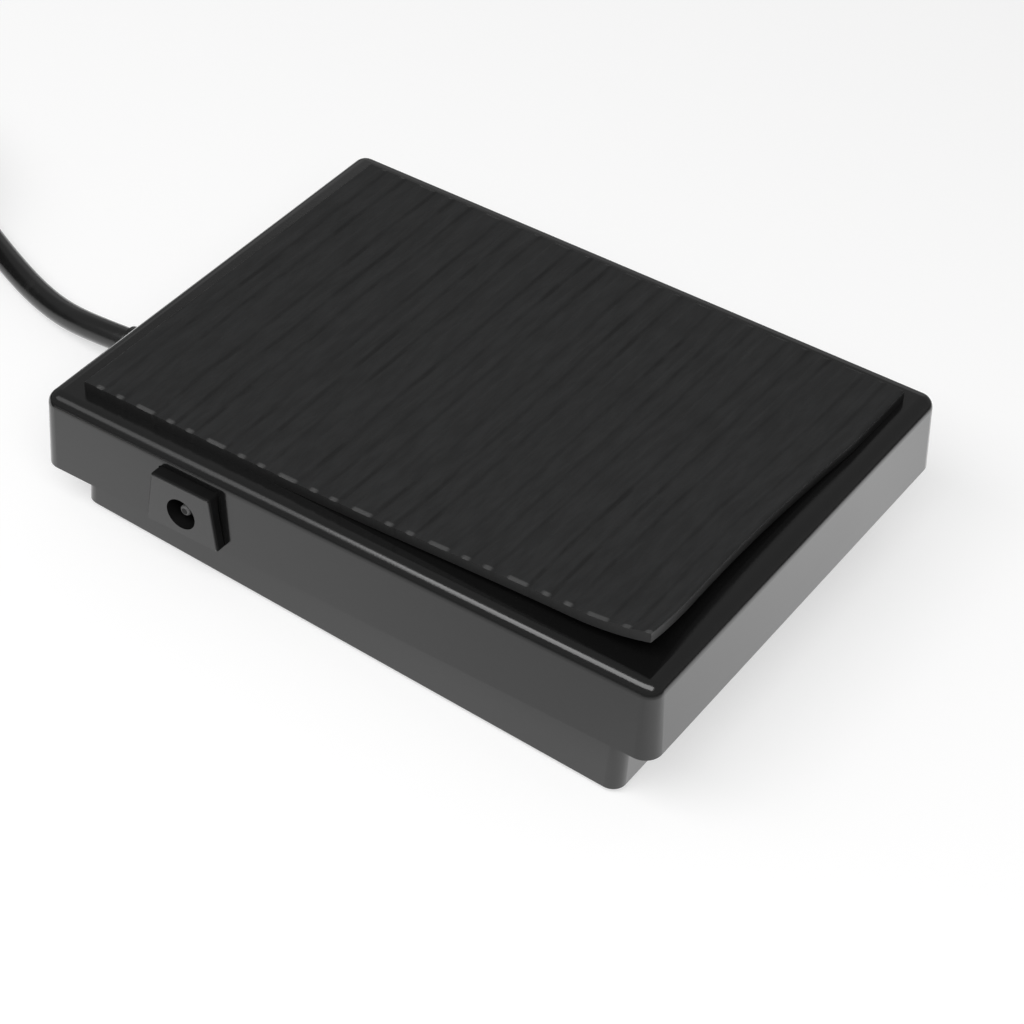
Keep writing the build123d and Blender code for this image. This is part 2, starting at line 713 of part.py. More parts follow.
with BuildPart() as jack_tabs:
    with BuildSketch(raised(Plane.XZ.offset(jack_rear))):
        with Locations((jack_x, jack_z - jack_height / 4)):
            with GridLocations(tab_spacing, 0, 2, 1):
                Rectangle(tab_width, tab_thickness)
    extrude(amount=-tab_length)
jack_tabs.part.label = "jack_tabs"
export_step(jack_tabs.part, "parts/jack_tabs.step")

lead_pad_y = board_y - board_width / 2 + 2 * lead_radius + board_head_radius
with BuildPart() as jack_leads:
    for side in (-1, 1):
        lead_x = board_x - board_length / 2 + 2 * lead_radius + (side + 1) * 2 * lead_radius
        tab_x = jack_x + side * tab_spacing / 2
        tab_y = -jack_rear + tab_length
        tab_z = jack_z - jack_height / 4
        lead_z = roof_z - rib_depth - rib_clearance
        with BuildLine(raised(Plane.XY)) as lead_line:
            FilletPolyline(
                (tab_x, tab_y, tab_z),
                (tab_x, tab_y + 3, tab_z),
                (lead_x, tab_y + 9, lead_z),
                (lead_x, lead_pad_y, lead_z),
                (lead_x, lead_pad_y, board_top + contact_gap),
                radius=1.4,
            )
        with BuildSketch(Plane(origin=lead_line.line @ 0, z_dir=lead_line.line % 0)):
            RegularPolygon(lead_radius, 8)
        sweep(path=lead_line.line)
jack_leads.part.label = "jack_leads"
export_step(jack_leads.part, "parts/jack_leads.step")

# ---- Strain relief: grooved tail outside, flanges either side of the wall ----
wall_outer = -base_length / 2
wall_inner = wall_outer + base_wall + 2 * relief_gap
with BuildPart() as strain_relief:
    with BuildSketch(along_x(wall_inner)):
        RectangleRounded(relief_flange_width, relief_flange_height, relief_corner)
    extrude(amount=relief_flange)
    with BuildSketch(along_x(wall_inner)):
        Circle(relief_neck_radius - relief_gap)
    extrude(amount=wall_outer - relief_gap - wall_inner)
    with BuildSketch(along_x(wall_outer - relief_gap)):
        RectangleRounded(relief_flange_width, relief_flange_height, relief_corner)
    extrude(amount=-relief_flange)
    tail_root = wall_outer - relief_gap - relief_flange
    with BuildSketch(along_x(tail_root)):
        Circle(relief_root_radius)
    with BuildSketch(along_x(tail_root - relief_tail)):
        Circle(relief_tip_radius)
    loft()
    for groove in range(relief_grooves):
        groove_x = tail_root - relief_tail * (groove + 1) / (relief_grooves + 1)
        with BuildSketch(along_x(groove_x)):
            Circle(relief_root_radius)
            Circle(relief_tip_radius - relief_groove / 4, mode=Mode.SUBTRACT)
        extrude(amount=relief_groove_width / 2, both=True, mode=Mode.SUBTRACT)
strain_relief.part.label = "strain_relief"
export_step(strain_relief.part, "parts/strain_relief.step")

# ---- Cord's end inside the tray, its clamp, screws and conductors ----
inner_end = clamp_x + clamp_length / 2
with BuildPart() as cord_inner:
    with BuildSketch(along_x(wall_inner + relief_flange)):
        Circle(cord_radius)
    extrude(amount=inner_end - wall_inner - relief_flange)
cord_inner.part.label = "cord_inner"
export_step(cord_inner.part, "parts/cord_inner.step")

with BuildPart() as cord_clamp:
    with BuildSketch(Plane.XY.offset(clamp_seat)):
        with Locations((clamp_x, cord_y)):
            RectangleRounded(clamp_length, clamp_width, clamp_length / 4)
            with GridLocations(0, clamp_hole_spacing, 1, 2):
                Circle(board_screw_radius, mode=Mode.SUBTRACT)
    extrude(amount=clamp_thickness)
    with BuildSketch(along_x(clamp_x)):
        Circle(cord_radius)
    extrude(amount=clamp_length, both=True, mode=Mode.SUBTRACT)
cord_clamp.part.label = "cord_clamp"
export_step(cord_clamp.part, "parts/cord_clamp.step")

with BuildPart() as clamp_screws:
    with BuildSketch(Plane.XY.offset(clamp_seat + clamp_thickness)):
        with Locations((clamp_x, cord_y)):
            with GridLocations(0, clamp_hole_spacing, 1, 2):
                Circle(board_head_radius)
    extrude(amount=board_head_height)
    chamfer(clamp_screws.faces().sort_by(Axis.Z)[-2:].edges(), board_head_height / 3)
    with BuildSketch(Plane.XY.offset(clamp_seat + clamp_thickness)):
        with Locations((clamp_x, cord_y)):
            with GridLocations(0, clamp_hole_spacing, 1, 2):
                Circle(board_screw_radius)
    extrude(amount=-(clamp_thickness + board_screw_depth))
clamp_screws.part.label = "clamp_screws"
export_step(clamp_screws.part, "parts/clamp_screws.step")

with BuildPart() as signal_leads:
    for side in (-1, 1):
        start_y = cord_y + side * cord_radius / 2
        pad_x = board_x - board_length / 4 - side * 2 * lead_radius
        lead_z = board_top + 3 * lead_radius
        with BuildLine() as lead_line:
            FilletPolyline(
                (inner_end, start_y, cord_z),
                (inner_end + 3, start_y, cord_z),
                (pad_x, start_y + 6, lead_z),
                (pad_x, lead_pad_y, lead_z),
                (pad_x, lead_pad_y, board_top),
                radius=1.0,
            )
        with BuildSketch(Plane(origin=lead_line.line @ 0, z_dir=lead_line.line % 0)):
            RegularPolygon(lead_radius, 8)
        sweep(path=lead_line.line)
signal_leads.part.label = "signal_leads"
export_step(signal_leads.part, "parts/signal_leads.step")

# ---- Free cord: from the relief down to the floor and into a put-away coil ----
relief_tip_x = tail_root - relief_tail
cord_points = [
    (relief_tip_x, cord_y, cord_z),
    (-64.6, -8.9, 4.5),
    (-71.5, -7.7, 2.9),
    (-78.5, -5.7, 2.1),
    (-86.0, -3.0, cord_radius),
    (-94.5, 0.6, cord_radius),
    (-102.4, 4.3, cord_radius),
    (-110.4, 8.2, cord_radius),
]
tail_points = [
    (-139.4, -36.9, 14.0),
    (-132.6, -42.6, 13.1),
    (-125.3, -47.3, 10.2),
    (-117.4, -50.9, 6.6),
    (plug_x, plug_y, handle_radius),
]


def corner_radii(points):
    """As large a bend at each inner point as its two runs allow."""
    radii = []
    for before, here, after in zip(points, points[1:], points[2:]):
        run_in = Vector(here) - Vector(before)
        run_out = Vector(after) - Vector(here)
        half_turn = radians(run_in.get_angle(run_out)) / 2
        radii.append(0.45 * min(run_in.length, run_out.length) / tan(half_turn))
    return radii


for name, points in (("cord", cord_points), ("cord_tail", tail_points)):
    print(name, "bend radii", [round(radius, 1) for radius in corner_radii(points)])

with BuildPart() as cord:
    with BuildLine() as cord_line:
        FilletPolyline(*cord_points, radius=corner_radii(cord_points))
    with BuildSketch(Plane(origin=cord_line.line @ 0, z_dir=cord_line.line % 0)):
        Circle(cord_radius)
    sweep(path=cord_line.line)
path_length = sum(edge.length for edge in cord_line.edges())
print("cord fill", round(cord.part.volume / (path_length * pi * cord_radius**2), 4))
cord.part.label = "cord"
export_step(cord.part, "parts/cord.step")

with BuildPart() as cord_coil:
    with BuildSketch():
        with Locations((coil_x, coil_y)):
            Circle(coil_outer + cord_radius)
            Circle(coil_inner - cord_radius, mode=Mode.SUBTRACT)
    extrude(amount=coil_layers * 2 * cord_radius)
    chamfer(cord_coil.edges().filter_by(GeomType.CIRCLE), cord_radius / 2)
cord_coil.part.label = "cord_coil"
export_step(cord_coil.part, "parts/cord_coil.step")

with BuildPart() as cord_tail:
    with BuildLine() as tail_line:
        FilletPolyline(*tail_points, radius=corner_radii(tail_points))
    with BuildSketch(Plane(origin=tail_line.line @ 0, z_dir=tail_line.line % 0)):
        Circle(cord_radius)
    sweep(path=tail_line.line)
cord_tail.part.label = "cord_tail"
export_step(cord_tail.part, "parts/cord_tail.step")

# ---- Quarter-inch plug: moulded handle with its boot, shank, insulating ring and tip ----
plug_line = Vector(1, 0, 0).rotate(Axis.Z, plug_heading)
plug_side = Vector(0, -1, 0).rotate(Axis.Z, plug_heading)
plug_axis = Plane(origin=(plug_x, plug_y, handle_radius), x_dir=plug_line, z_dir=plug_side)
handle_end = boot_length + handle_length
shank_end = handle_end + shank_length
insulator_end = shank_end + insulator_length
tip_end = insulator_end + tip_length
with BuildPart() as plug_handle:
    with BuildSketch(plug_axis):
        with BuildLine():
            Polyline(
                (0, 0),
                (0, cord_radius + 0.4),
                (boot_length, boot_radius),
                (boot_length, handle_neck_radius),
                (boot_length + 3, handle_radius),
                (handle_end - 2, handle_radius),
                (handle_end, handle_neck_radius),
                (handle_end, 0),
                close=True,
            )
        make_face()
    revolve(axis=Axis(plug_axis.origin, plug_axis.x_dir))
plug_handle.part.label = "plug_handle"
export_step(plug_handle.part, "parts/plug_handle.step")

with BuildPart() as plug_shank:
    with BuildSketch(plug_axis):
        with Locations((handle_end, 0)):
            Rectangle(shank_length, shank_radius, align=(Align.MIN, Align.MIN))
    revolve(axis=Axis(plug_axis.origin, plug_axis.x_dir))
plug_shank.part.label = "plug_shank"
export_step(plug_shank.part, "parts/plug_shank.step")

with BuildPart() as plug_insulator:
    with BuildSketch(plug_axis):
        with Locations((shank_end, 0)):
            Rectangle(insulator_length, insulator_radius, align=(Align.MIN, Align.MIN))
    revolve(axis=Axis(plug_axis.origin, plug_axis.x_dir))
plug_insulator.part.label = "plug_insulator"
export_step(plug_insulator.part, "parts/plug_insulator.step")

with BuildPart() as plug_tip:
    with BuildSketch(plug_axis):
        with BuildLine():
            Polyline(
                (insulator_end, 0),
                (insulator_end, shank_radius),
                (insulator_end + 0.18 * tip_length, shank_radius),
                (insulator_end + 0.42 * tip_length, tip_waist_radius),
                (insulator_end + 0.70 * tip_length, tip_bulge_radius),
                (tip_end, tip_point_radius),
                (tip_end, 0),
                close=True,
            )
        make_face()
    revolve(axis=Axis(plug_axis.origin, plug_axis.x_dir))
plug_tip.part.label = "plug_tip"
export_step(plug_tip.part, "parts/plug_tip.step")
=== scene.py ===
"""A small sustain pedal: a hinged treadle with a ribbed mat over a shallow tray, with its flex and plug."""
import json
import math

import bpy
from mathutils import Matrix, Vector


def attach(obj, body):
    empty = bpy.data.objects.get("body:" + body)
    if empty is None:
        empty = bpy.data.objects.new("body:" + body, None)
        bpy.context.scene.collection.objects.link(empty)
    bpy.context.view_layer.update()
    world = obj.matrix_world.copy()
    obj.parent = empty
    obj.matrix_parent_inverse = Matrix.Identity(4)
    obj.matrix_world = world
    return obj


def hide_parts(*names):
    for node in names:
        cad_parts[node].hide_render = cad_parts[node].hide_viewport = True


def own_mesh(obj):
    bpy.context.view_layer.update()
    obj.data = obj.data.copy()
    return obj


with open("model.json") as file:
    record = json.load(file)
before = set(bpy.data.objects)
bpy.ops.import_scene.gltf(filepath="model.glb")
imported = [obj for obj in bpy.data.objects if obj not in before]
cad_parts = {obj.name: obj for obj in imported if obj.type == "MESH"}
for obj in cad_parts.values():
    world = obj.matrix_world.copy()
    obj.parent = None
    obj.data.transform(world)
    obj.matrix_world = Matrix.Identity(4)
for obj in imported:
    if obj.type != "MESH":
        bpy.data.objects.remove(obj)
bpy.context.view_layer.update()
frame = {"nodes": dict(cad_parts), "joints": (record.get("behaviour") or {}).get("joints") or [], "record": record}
mm = 0.001


# ---------------------------------------------------------------- sums on sockets

class Value:
    """An output socket that can stand in a sum."""

    def __init__(self, graph, socket):
        self.graph = graph
        self.socket = socket

    def __add__(self, other):
        return self.graph.maths("ADD", self, other)

    __radd__ = __add__

    def __sub__(self, other):
        return self.graph.maths("SUBTRACT", self, other)

    def __rsub__(self, other):
        return self.graph.maths("SUBTRACT", other, self)

    def __mul__(self, other):
        return self.graph.maths("MULTIPLY", self, other)

    __rmul__ = __mul__

    def __truediv__(self, other):
        return self.graph.maths("DIVIDE", self, other)

    def __rtruediv__(self, other):
        return self.graph.maths("DIVIDE", other, self)

    def __abs__(self):
        return self.graph.maths("ABSOLUTE", self)


class Graph:
    """A node tree, for a finish or for a shape."""

    def __init__(self, tree):
        self.tree = tree

    def node(self, kind, settings=None, inputs=None, output=0):
        """One node: its settings first, then the values or links of its sockets."""
        made = self.tree.nodes.new(kind)
        for name, value in (settings or {}).items():
            setattr(made, name, value)
        for key, value in (inputs or {}).items():
            if isinstance(value, Value):
                self.tree.links.new(value.socket, made.inputs[key])
            else:
                made.inputs[key].default_value = value
        return Value(self, made.outputs[output])

    def maths(self, operation, *terms):
        """One sum on values and numbers."""
        return self.node("ShaderNodeMath", {"operation": operation}, dict(enumerate(terms)))

    def band(self, value, low, high):
        """0 up to low, 1 from high, smooth between."""
        inputs = {"Value": value, "From Min": low, "From Max": high}
        return self.node("ShaderNodeMapRange", {"interpolation_type": "SMOOTHSTEP"}, inputs)

    def ramp(self, value, low, high):
        """0 up to low, 1 from high, straight between."""
        return self.node("ShaderNodeMapRange", {}, {"Value": value, "From Min": low, "From Max": high})

    def least(self, one, other):
        return self.maths("MINIMUM", one, other)

    def most(self, one, other):
        return self.maths("MAXIMUM", one, other)

    def root(self, value):
        return self.maths("SQRT", value)

    def above(self, value, limit):
        """1 above the limit, 0 elsewhere."""
        return self.maths("GREATER_THAN", value, limit)

    def parts(self, vector):
        """The three numbers of a vector."""
        made = self.tree.nodes.new("ShaderNodeSeparateXYZ")
        self.tree.links.new(vector.socket, made.inputs[0])
        return [Value(self, output) for output in made.outputs]

    def vector(self, x, y, z):
        return self.node("ShaderNodeCombineXYZ", {}, {0: x, 1: y, 2: z})

    def mix(self, share, one, other):
        """A colour between two colours."""
        return self.node("ShaderNodeMix", {"data_type": "RGBA"}, {0: share, 6: one, 7: other}, 2)


def grey(level, warmth=0.0):
    """A grey of that level, turned a share towards red, or towards blue below 0."""
    return (level * (1 + warmth), level, level * (1 - warmth), 1.0)


class Finish(Graph):
    """One material, patterned by its place in the frame."""

    def __init__(self, name, colour, roughness, **sockets):
        self.material = bpy.data.materials.new(name)
        self.material.use_nodes = True
        super().__init__(self.material.node_tree)
        self.shader = next(n for n in self.tree.nodes if n.type == "BSDF_PRINCIPLED")
        self.place = self.node("ShaderNodeTexCoord", output="Object")
        self.set("Base Color", colour)
        self.set("Roughness", roughness)
        for socket, value in sockets.items():
            self.set(socket.replace("_", " "), value)

    def set(self, socket, value):
        """Sets or links one socket of the shader."""
        if isinstance(value, Value):
            self.tree.links.new(value.socket, self.shader.inputs[socket])
        else:
            self.shader.inputs[socket].default_value = value

    def stretched(self, x, y, z):
        """The place, divided by a length along each axis."""
        return self.node("ShaderNodeMapping", {}, {"Vector": self.place, "Scale": (1 / x, 1 / y, 1 / z)})

    def attribute(self, name):
        """A value that the shape carries on its points."""
        return self.node("ShaderNodeAttribute", {"attribute_name": name}, output=2)

    def clouds(self, size, detail=3.0, roughness=0.5, where=None):
        """Cloudy values about 0.5, in patches of the size, in metres."""
        inputs = {"Vector": where or self.place, "Scale": 1 / size, "Detail": detail, "Roughness": roughness}
        return self.node("ShaderNodeTexNoise", {}, inputs)

    def specks(self, size, share):
        """1 at scattered specks, a size apart, that cover about that share."""
        inputs = {"Vector": self.place, "Scale": 1 / size, "Randomness": 1.0}
        near = self.node("ShaderNodeTexVoronoi", {}, inputs)
        return self.band(near, 1.3 * share, 0.6 * share)

    def relief(self, height, distance):
        """Gives the surface a fine relief, distance metres high."""
        inputs = {"Height": height, "Distance": distance, "Strength": 1.0}
        self.set("Normal", self.node("ShaderNodeBump", {}, inputs))


# ---------------------------------------------------------------- finishes

def moulded_black(name, level=0.0065, roughness=0.15):
    """Satin black moulding: a fine spark-eroded grain, faint flow marks, handling smears and dust."""
    finish = Finish(name, grey(level), roughness, IOR=1.55)
    flow = finish.clouds(1.0, 4.0, 0.55, finish.stretched(0.03, 0.012, 0.02))
    smear = finish.band(finish.clouds(0.022, 5.0, 0.62), 0.48, 0.7)
    grain = finish.clouds(0.0003, 2.0, 0.6)
    dust = finish.specks(0.0011, 0.045)
    body = finish.mix(flow, grey(level * 0.85), grey(level * 1.2))
    finish.set("Base Color", finish.mix(dust * 0.2, body, grey(0.05, 0.05)))
    finish.set("Roughness", roughness - 0.03 + 0.05 * flow + 0.05 * smear + 0.12 * dust)
    finish.relief(grain + 0.6 * flow, 0.000006)
    return finish.material


def jack_moulding(name):
    """Black nylon: its open face is polished where plugs rub it, the rest is as dull as it left the tool."""
    open_face = -38.5 * mm
    finish = Finish(name, grey(0.006), 0.55, IOR=1.2, Coat_Roughness=0.2, Coat_IOR=1.5)
    across = finish.parts(finish.place)[1]
    finish.set("Coat Weight", finish.band(across, open_face + 0.05 * mm, open_face - 0.05 * mm))
    flow = finish.clouds(0.004, 3.0, 0.6)
    grain = finish.clouds(0.0002, 2.0, 0.7)
    finish.set("Base Color", finish.mix(flow, grey(0.004), grey(0.009)))
    finish.set("Roughness", 0.5 + 0.1 * flow)
    finish.relief(grain, 0.00001)
    return finish.material


def mat_rubber(name):
    """Matt rubber sheet: broken lines of painted shade beside its ribs, grain along them, rib ends smoothed and
    painted lighter as a highlight, painted shade on the cut sides.
    """
    finish = Finish(name, grey(0.013), 0.6, IOR=1.45)
    flank_shade = finish.attribute("flank_shade")
    rib_end_glint = finish.attribute("rib_end_glint")
    face = finish.attribute("face")
    broken = finish.band(finish.clouds(1.0, 3.0, 0.6, finish.stretched(0.002, 0.006, 0.006)), 0.36, 0.6)
    streak = finish.clouds(1.0, 4.0, 0.62, finish.stretched(0.0012, 0.006, 0.006))
    bloom = finish.clouds(0.018, 4.0, 0.6)
    grain = finish.clouds(0.00028, 2.0, 0.7)
    lint = finish.specks(0.0019, 0.035)
    patch = finish.band(finish.clouds(0.016, 2.0, 0.5), 0.42, 0.6)
    # painted shade: dark broken lines beside the ribs, which also dent the relief
    shade_line = flank_shade * (0.1 + 0.9 * broken) * (0.3 + 0.7 * patch)
    body = finish.mix(finish.band(streak, 0.3, 0.72), grey(0.008, -0.02), grey(0.0145, -0.02))
    body = finish.mix(shade_line * 0.85, body, grey(0.0035))
    body = finish.mix(lint * 0.2, body, grey(0.06, 0.04))
    # painted highlight: the rib ends on the front edge are lighter in colour, and smoother too
    body = finish.mix(rib_end_glint * 0.8, body, grey(0.06))
    # painted shade: the cut sides, where face is 0, are darker than the top
    finish.set("Base Color", finish.mix(face, grey(0.007), body))
    dull = 0.56 + 0.1 * bloom + 0.1 * shade_line
    finish.set("Roughness", dull - 0.16 * (1.0 - face) - 0.28 * rib_end_glint)
    finish.relief(0.45 * streak + 0.3 * grain - 0.7 * shade_line, 0.00008)
    return finish.material


def soft_rubber(name):
    """Sole and bumper rubber, matt, with a fine pebbled skin."""
    finish = Finish(name, grey(0.03), 0.7)
    cells = {"Vector": finish.place, "Scale": 1100.0}
    pebble = finish.node("ShaderNodeTexVoronoi", {"feature": "SMOOTH_F1"}, cells)
    cloud = finish.clouds(0.012, 4.0, 0.6)
    finish.set("Base Color", finish.mix(cloud, grey(0.022), grey(0.042, 0.03)))
    finish.set("Roughness", 0.62 + 0.16 * cloud)
    finish.relief(pebble, 0.00008)
    return finish.material


def drawn_metal(name, level, roughness, warmth=0.0, along=(0.0004, 0.02, 0.0004)):
    """Ground or drawn metal with fine lines along it and a little tarnish."""
    finish = Finish(name, grey(level, warmth), roughness, Metallic=1.0)
    line = finish.clouds(1.0, 3.0, 0.6, finish.stretched(*along))
    stain = finish.band(finish.clouds(0.003, 5.0, 0.6), 0.45, 0.75)
    finish.set("Base Color", finish.mix(0.5 * stain, grey(level, warmth), grey(level * 0.7, warmth + 0.03)))
    finish.set("Roughness", roughness * 0.8 + 0.3 * roughness * line + 0.12 * stain)
    finish.relief(line, 0.000003)
    return finish.material


def tinned_brass(name):
    """Bright tinned brass; the open end of the socket's pin, deep in the socket, is made dull and painted dark as
    shade, with black painted shade in a dimple that is only a bump.
    """
    pin_end, pin_radius, dimple_radius = -31.0 * mm, 1.5 * mm, 0.5 * mm
    finish = Finish(name, grey(0.6, 0.05), 0.3, Metallic=1.0)
    line = finish.clouds(1.0, 3.0, 0.6, finish.stretched(0.001, 0.004, 0.001))
    stain = finish.band(finish.clouds(0.003, 5.0, 0.6), 0.45, 0.75)
    corners = [Vector(corner) for corner in frame["nodes"]["jack_pin"].bound_box]
    axis = sum(corners, Vector()) / 8
    x, y, z = finish.parts(finish.place)
    off = finish.root((x - axis.x) * (x - axis.x) + (z - axis.z) * (z - axis.z))
    tip = finish.band(y, pin_end + 1.0 * mm, pin_end)
    # painted shade: the pin's open end deep in the socket is dark and not metal, and its dimple is painted black
    pin_end_shade = tip * finish.band(off, pin_radius, pin_radius - 0.2 * mm)
    dimple_shade = pin_end_shade * finish.band(off, dimple_radius, dimple_radius - 0.08 * mm)
    bright = finish.mix(0.5 * stain, grey(0.6, 0.05), grey(0.42, 0.08))
    finish.set("Base Color", finish.mix(dimple_shade, finish.mix(pin_end_shade, bright, grey(0.13)), grey(0.002)))
    finish.set("Roughness", 0.24 + 0.09 * line + 0.12 * stain + 0.35 * pin_end_shade)
    finish.set("Metallic", 1.0 - pin_end_shade)
    finish.relief(line - 40.0 * dimple_shade, 0.000003)
    return finish.material


def moulded_colour(name, colour, roughness, shade=0.8):
    """A small plain moulding or insulation with a slight unevenness."""
    finish = Finish(name, colour, roughness)
    cloud = finish.clouds(0.0025, 4.0, 0.6)
    darker = tuple(c * shade for c in colour[:3]) + (1.0,)
    finish.set("Base Color", finish.mix(cloud, darker, colour))
    finish.set("Roughness", roughness * 0.85 + roughness * 0.3 * cloud)
    finish.relief(finish.clouds(0.0003, 2.0), 0.000006)
    return finish.material


def board_laminate(name):
    """Phenolic board: brown, with pressed paper fibres."""
    finish = Finish(name, (0.3, 0.16, 0.06, 1), 0.5)
    fibre = finish.clouds(1.0, 5.0, 0.65, finish.stretched(0.004, 0.0006, 0.001))
    finish.set("Base Color", finish.mix(fibre, (0.2, 0.1, 0.035, 1), (0.38, 0.22, 0.09, 1)))
    finish.set("Roughness", 0.38 + 0.2 * fibre)
    finish.relief(fibre, 0.00001)
    return finish.material


def flex_jacket(name):
    """Flexible black jacket: satin, with the faint lay of the cores and a scuff here and there."""
    finish = Finish(name, grey(0.01), 0.26, IOR=1.52)
    scuff = finish.band(finish.clouds(0.006, 5.0, 0.65), 0.5, 0.72)
    lay = finish.clouds(0.0025, 2.0, 0.5)
    grain = finish.clouds(0.0003, 2.0, 0.6)
    finish.set("Base Color", finish.mix(scuff * 0.6, grey(0.009), grey(0.018)))
    finish.set("Roughness", 0.22 + 0.08 * scuff + 0.05 * lay)
    finish.relief(lay + 0.3 * grain, 0.00002)
    return finish.material


def finishes():
    """Every finish, by the name of its slot."""
    return {
        "black_abs": moulded_black("black_abs"),
        "mat_rubber": mat_rubber("mat_rubber"),
        "sole_rubber": soft_rubber("sole_rubber"),
        "plain_steel": drawn_metal("plain_steel", 0.5, 0.3),
        "zinc_steel": drawn_metal("zinc_steel", 0.62, 0.28, 0.02, (0.002, 0.002, 0.0004)),
        "spring_wire": drawn_metal("spring_wire", 0.42, 0.26, 0.0, (0.003, 0.003, 0.0005)),
        "board_laminate": board_laminate("board_laminate"),
        "switch_moulding": moulded_black("switch_moulding", 0.018, 0.38),
        "tinned_brass": tinned_brass("tinned_brass"),
        "plunger_nylon": moulded_colour("plunger_nylon", grey(0.7, 0.04), 0.4, 0.92),
        "jack_moulding": jack_moulding("jack_moulding"),
        "red_lead": moulded_colour("red_lead", (0.5, 0.02, 0.015, 1), 0.4),
        "white_lead": moulded_colour("white_lead", grey(0.7, 0.02), 0.4, 0.9),
        "cord_pvc": flex_jacket("cord_pvc"),
        "nickel_plate": drawn_metal("nickel_plate", 0.68, 0.14, 0.03, (0.0006, 0.0006, 0.0006)),
        "plug_ring": moulded_colour("plug_ring", grey(0.02), 0.35),
    }


def dress_frame(materials):
    """The CAD pieces keep their shape and take the finish of their slot."""
    slot_of = {part["node"]: part["material_slot"] for part in frame["record"]["subparts"]}
    for name, piece in frame["nodes"].items():
        for place in piece.material_slots:
            place.material = materials[slot_of[name]]


# ---------------------------------------------------------------- places

def raised():
    """The move from the treadle's level position, in which its mat is drawn, up to rest."""
    hinge = next(joint for joint in frame["joints"] if joint["name"] == "pedal_hinge")
    centre = Vector(hinge["pos_m"])
    turn = Matrix.Rotation(-math.radians(hinge["range_deg"][1]), 4, "Y")
    return Matrix.Translation(centre) @ turn @ Matrix.Translation(-centre)


def add_object(name, data):
    """A new object in the scene, at the origin."""
    piece = bpy.data.objects.new(name, data)
    bpy.context.scene.collection.objects.link(piece)
    return piece


# ---------------------------------------------------------------- shapes from trees

def new_shape_tree(name, sizes):
    """An empty shape tree with named inputs: (kind, name, value)."""
    tree = bpy.data.node_groups.new(name, "GeometryNodeTree")
    tree.interface.new_socket("Geometry", in_out="INPUT", socket_type="NodeSocketGeometry")
    tree.interface.new_socket("Geometry", in_out="OUTPUT", socket_type="NodeSocketGeometry")
    for kind, label, _ in sizes:
        tree.interface.new_socket(label, in_out="INPUT", socket_type="NodeSocket" + kind)
    graph = Graph(tree)
    entry = tree.nodes.new("NodeGroupInput")
    named = {output.name: Value(graph, output) for output in entry.outputs if output.name}
    return graph, named


def finish_tree(graph, geometry, material):
    """Ends a shape tree as plain geometry in one material."""
    real = graph.node("GeometryNodeRealizeInstances", {}, {0: geometry})
    dressed = graph.node("GeometryNodeSetMaterial", {}, {0: real, "Material": material})
    out = graph.tree.nodes.new("NodeGroupOutput")
    graph.tree.links.new(dressed.socket, out.inputs[0])


def grown(name, start, graph, sizes):
    """The plain mesh that a shape tree makes from a start mesh."""
    piece = add_object(name, start)
    modifier = piece.modifiers.new("shape", "NODES")
    modifier.node_group = graph.tree
    identifiers = {
        item.name: item.identifier
        for item in graph.tree.interface.items_tree
        if item.item_type == "SOCKET" and item.in_out == "INPUT"
    }
    for _, label, value in sizes:
        modifier[identifiers[label]] = value
    bpy.context.view_layer.update()
    whole = bpy.data.meshes.new_from_object(piece.evaluated_get(bpy.context.evaluated_depsgraph_get()))
    piece.modifiers.clear()
    piece.data = whole
    return piece


# ---------------------------------------------------------------- tread mat

def evenly(low, high, step, fine):
    """Places from low to high: close together at both ends, then a step apart."""
    ends = [low + e for e in fine]
    count = round((high - low - 2 * fine[-1]) / step)
    gap = (high - low - 2 * fine[-1]) / count
    return ends + [ends[-1] + gap * (i + 1) for i in range(count - 1)] + [high - e for e in reversed(fine)]


def flat_slab(name, xs, ys, thickness, foot):
    """A closed flat sheet, finely divided above and below, with one ring round it just under its top."""
    wide, deep = len(xs), len(ys)
    points = [(x, y, foot + z) for z in (thickness, 0.0) for y in ys for x in xs]
    under = wide * deep
    ring = 2 * under
    faces = []
    for row in range(deep - 1):
        for column in range(wide - 1):
            a = row * wide + column
            b, c, d = a + 1, a + wide + 1, a + wide
            faces.append((a, b, c, d))
            faces.append((under + d, under + c, under + b, under + a))
    rim = [i for i in range(wide)]
    rim += [row * wide + wide - 1 for row in range(1, deep)]
    rim += [(deep - 1) * wide + i for i in range(wide - 2, -1, -1)]
    rim += [row * wide for row in range(deep - 2, 0, -1)]
    for i, (here, after) in enumerate(zip(rim, rim[1:] + rim[:1])):
        near, far = ring + i, ring + (i + 1) % len(rim)
        points.append((points[here][0], points[here][1], foot + ring_share * thickness))
        faces.append((here, near, far, after))
        faces.append((near, under + here, under + after, far))
    mesh = bpy.data.meshes.new(name)
    mesh.from_pydata(points, [], faces)
    return mesh


mat_low = Vector((-45.0, -32.9)) * mm
mat_high = Vector((46.2, 32.4)) * mm
mat_foot = 19.16 * mm
mat_thickness = 1.8 * mm
ring_share = 0.97  # how far up the mat's sides the ring under its top runs


def rib_rows(graph, size, along):
    """The tops of the ribs, and the lines of painted shade along the +X flank of each, each as 0 to 1."""
    ribs = flank_shades = 0.0
    for middle, width in (
        (0.0, size["Wide rib"]),
        (size["First narrow"], size["Narrow rib"]),
        (size["Second narrow"], size["Narrow rib"]),
    ):
        away = abs(along - middle)
        ribs = ribs + graph.band(away, width * 0.5 + size["Flank"] * 0.5, width * 0.5 - size["Flank"] * 0.5)
        # painted shade: a dark line only along the +X flank of each rib
        beside = abs(along - middle - width * 0.5 - size["Flank"] * 0.5)
        flank_shades = flank_shades + graph.band(beside, size["Shade line width"], size["Shade line width"] * 0.3)
    return ribs, flank_shades


